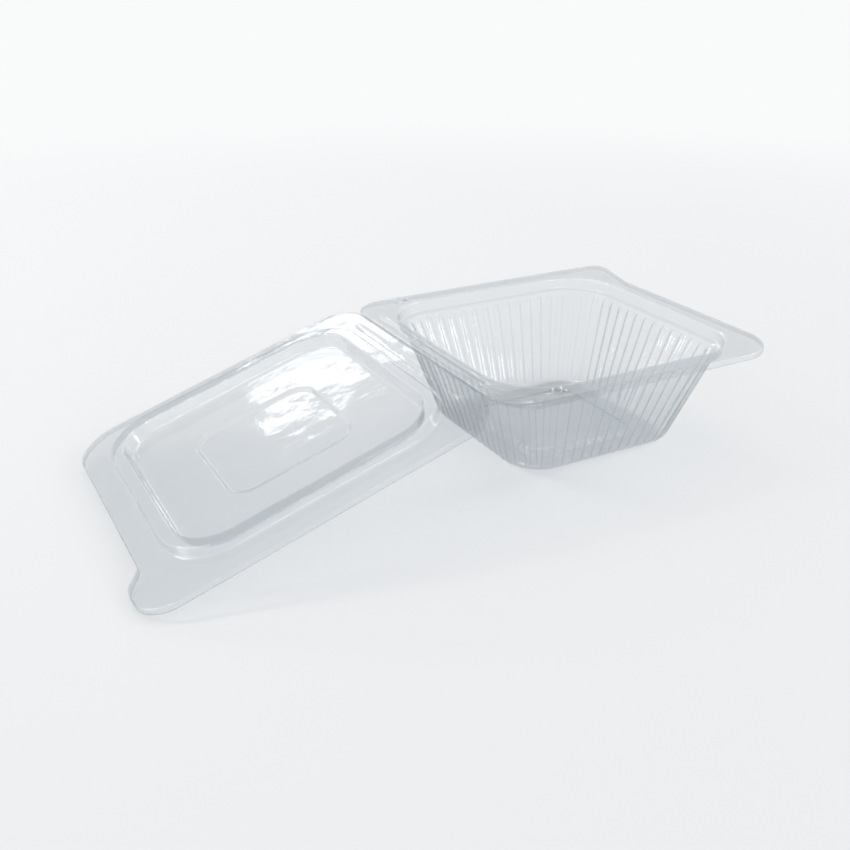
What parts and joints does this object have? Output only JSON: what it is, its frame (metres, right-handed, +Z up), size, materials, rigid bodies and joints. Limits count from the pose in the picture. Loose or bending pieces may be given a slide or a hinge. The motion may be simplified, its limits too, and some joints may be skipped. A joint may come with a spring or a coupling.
{
  "type": "hinged food container",
  "caption": "Square clear plastic takeaway container with fluted walls, a flat flange with pull tabs, and a hinged plug-fit lid shown folded back.",
  "frame": {"origin": "on the table, under the middle of the bounding box of the open container", "axes": "+Z up, +X from the folded-back lid towards the tub's front edge, Y along the hinge"},
  "size_m": [0.2612, 0.127, 0.044],
  "materials": {
    "clear_sheet": "gloss, clear with a faint cool grey tint"
  },
  "bodies": {
    "tub": {"tub": "clear_sheet"},
    "lid": {"lid": "clear_sheet"}
  },
  "joints": [
    {"name": "lid_hinge", "type": "hinge", "parent": "tub", "child": "lid", "pos_m": [-0.00337, 0, 0.04415], "axis": [0, 1, 0], "range_deg": [0, 198.19]}
  ]
}
